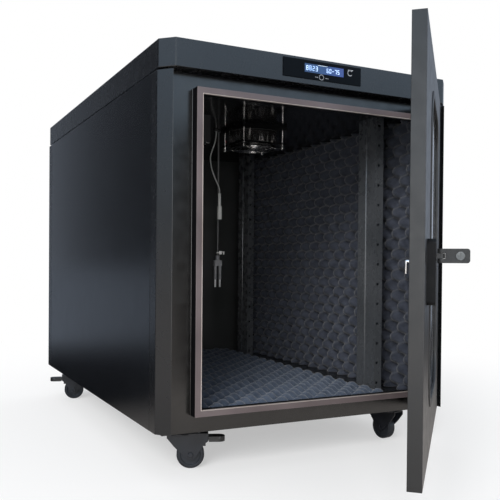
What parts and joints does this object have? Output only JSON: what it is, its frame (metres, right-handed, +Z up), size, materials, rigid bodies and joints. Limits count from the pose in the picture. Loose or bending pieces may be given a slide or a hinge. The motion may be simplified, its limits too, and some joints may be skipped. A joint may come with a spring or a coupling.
{
  "type": "soundproof rack cabinet",
  "caption": "Soundproof rack cabinet with a windowed front door, swing handle, foam lining, ceiling fan, hanging leads and braked swivel casters.",
  "frame": {"origin": "middle of the underside of the base, on the face of the base plate", "axes": "+X to the right seen from the front, +Y to the rear, +Z up"},
  "size_m": [0.6701, 1.3899, 0.787],
  "materials": {
    "powder_black": "satin powder coat",
    "inner_black": "smooth satin",
    "gasket_rubber": "matte",
    "foam": "open-cell foam, matte",
    "liner_felt": "matte",
    "bezel_gloss": "high gloss",
    "lcd_blue": "backlit",
    "circuit_board": "solder mask",
    "black_plastic": "fine grain",
    "fan_plastic": "satin",
    "bright_wire": "polished",
    "zinc": "bright zinc",
    "red_lens": "lit lens",
    "grey_cord": "satin PVC",
    "dark_cord": "satin PVC",
    "white_plastic": "satin",
    "grey_plastic": "satin",
    "tinted_glass": "tinted, tempered",
    "handle_grey": "fine texture",
    "lock_steel": "satin nickel",
    "fork_steel": "satin",
    "wheel_rubber": "satin",
    "pedal_plastic": "satin"
  },
  "bodies": {
    "cabinet": {"base_frame": "powder_black", "base_plate": "inner_black", "floor_panel": "inner_black", "front_posts": "powder_black", "rear_posts": "powder_black", "front_frame": "powder_black", "door_gasket": "gasket_rubber", "left_side_panel": "powder_black", "right_side_panel": "powder_black", "rear_panel": "powder_black", "rear_liner": "inner_black", "ceiling_panel": "inner_black", "roof_cap": "powder_black", "outlet_grille": "black_plastic", "power_inlet": "black_plastic", "display_bezel": "bezel_gloss", "lcd_module": "lcd_blue", "controller_board": "circuit_board", "front_uprights": "inner_black", "rear_uprights": "inner_black", "floor_foam": "foam", "wall_foams": "foam", "fan_frame": "fan_plastic", "fan_guard": "bright_wire", "fan_screws": "bright_wire", "junction_box": "inner_black", "indicator_lamp": "red_lens", "cable_glands": "black_plastic", "sensor_lead": "grey_cord", "sensor_connector": "white_plastic", "power_lead": "dark_cord", "power_plug": "grey_plastic", "frame_hinges": "inner_black", "latch_keeper": "zinc", "caster_rails": "powder_black", "caster_plates": "fork_steel"},
    "door": {"door_pan": "powder_black", "door_liner": "liner_felt", "window_glass": "tinted_glass", "window_trim": "black_plastic", "glass_retainer": "powder_black", "door_hinge_leaves": "inner_black", "handle_escutcheon": "handle_grey"},
    "handle": {"handle_spindle": "handle_grey", "latch_cam": "zinc"},
    "lever": {"handle_lever": "handle_grey"},
    "lock": {"lock_plug": "lock_steel"},
    "fan_rotor": {"fan_rotor": "fan_plastic"},
    "front_left_fork": {"front_left_fork": "fork_steel"},
    "front_left_wheel": {"front_left_wheel": "wheel_rubber"},
    "front_left_brake": {"front_left_brake": "pedal_plastic"},
    "front_right_fork": {"front_right_fork": "fork_steel"},
    "front_right_wheel": {"front_right_wheel": "wheel_rubber"},
    "front_right_brake": {"front_right_brake": "pedal_plastic"},
    "rear_left_fork": {"rear_left_fork": "fork_steel"},
    "rear_left_wheel": {"rear_left_wheel": "wheel_rubber"},
    "rear_left_brake": {"rear_left_brake": "pedal_plastic"},
    "rear_right_fork": {"rear_right_fork": "fork_steel"},
    "rear_right_wheel": {"rear_right_wheel": "wheel_rubber"},
    "rear_right_brake": {"rear_right_brake": "pedal_plastic"}
  },
  "joints": [
    {"name": "door_hinge", "type": "hinge", "parent": "cabinet", "child": "door", "pos_m": [0.294, -0.472, 0.322], "axis": [0, 0, 1], "range_deg": [-46.08, 65]},
    {"name": "handle_turn", "type": "hinge", "parent": "door", "child": "handle", "pos_m": [-0.06267, -0.85391, 0.318], "axis": [-0.7203, 0.6937, 0], "range_deg": [0, 90]},
    {"name": "handle_fold", "type": "hinge", "parent": "handle", "child": "lever", "pos_m": [-0.04899, -0.86709, 0.318], "axis": [0, 0, 1], "range_deg": [0, 90]},
    {"name": "key_turn", "type": "hinge", "parent": "lever", "child": "lock", "pos_m": [-0.03026, -0.88513, 0.318], "axis": [0.6937, 0.7203, 0], "range_deg": [0, 90]},
    {"name": "fan_spin", "type": "hinge", "parent": "cabinet", "child": "fan_rotor", "pos_m": [0.05, -0.095, 0.607], "axis": [0, 0, 1], "continuous": true},
    {"name": "front_left_swivel", "type": "hinge", "parent": "cabinet", "child": "front_left_fork", "pos_m": [-0.254, -0.381, -0.0205], "axis": [0, 0, 1], "continuous": true},
    {"name": "front_left_roll", "type": "hinge", "parent": "front_left_fork", "child": "front_left_wheel", "pos_m": [-0.2336, -0.38924, -0.0605], "axis": [0.3746, 0.9272, 0], "continuous": true},
    {"name": "front_left_brake_press", "type": "hinge", "parent": "front_left_fork", "child": "front_left_brake", "pos_m": [-0.20857, -0.39936, -0.031], "axis": [0.3746, 0.9272, 0], "range_deg": [0, 14]},
    {"name": "front_right_swivel", "type": "hinge", "parent": "cabinet", "child": "front_right_fork", "pos_m": [0.254, -0.381, -0.0205], "axis": [0, 0, 1], "continuous": true},
    {"name": "front_right_roll", "type": "hinge", "parent": "front_right_fork", "child": "front_right_wheel", "pos_m": [0.25094, -0.35921, -0.0605], "axis": [-0.9903, -0.1392, 0], "continuous": true},
    {"name": "front_right_brake_press", "type": "hinge", "parent": "front_right_fork", "child": "front_right_brake", "pos_m": [0.24718, -0.33248, -0.031], "axis": [-0.9903, -0.1392, 0], "range_deg": [0, 14]},
    {"name": "rear_left_swivel", "type": "hinge", "parent": "cabinet", "child": "rear_left_fork", "pos_m": [-0.254, 0.381, -0.0205], "axis": [0, 0, 1], "continuous": true},
    {"name": "rear_left_roll", "type": "hinge", "parent": "rear_left_fork", "child": "rear_left_wheel", "pos_m": [-0.27544, 0.38595, -0.0605], "axis": [-0.225, -0.9744, 0], "continuous": true},
    {"name": "rear_left_brake_press", "type": "hinge", "parent": "rear_left_fork", "child": "rear_left_brake", "pos_m": [-0.30174, 0.39202, -0.031], "axis": [-0.225, -0.9744, 0], "range_deg": [0, 14]},
    {"name": "rear_right_swivel", "type": "hinge", "parent": "cabinet", "child": "rear_right_fork", "pos_m": [0.254, 0.381, -0.0205], "axis": [0, 0, 1], "continuous": true},
    {"name": "rear_right_roll", "type": "hinge", "parent": "rear_right_fork", "child": "rear_right_wheel", "pos_m": [0.2563, 0.40288, -0.0605], "axis": [-0.9945, 0.1045, 0], "continuous": true},
    {"name": "rear_right_brake_press", "type": "hinge", "parent": "rear_right_fork", "child": "rear_right_brake", "pos_m": [0.25912, 0.42973, -0.031], "axis": [-0.9945, 0.1045, 0], "range_deg": [0, 14]}
  ]
}
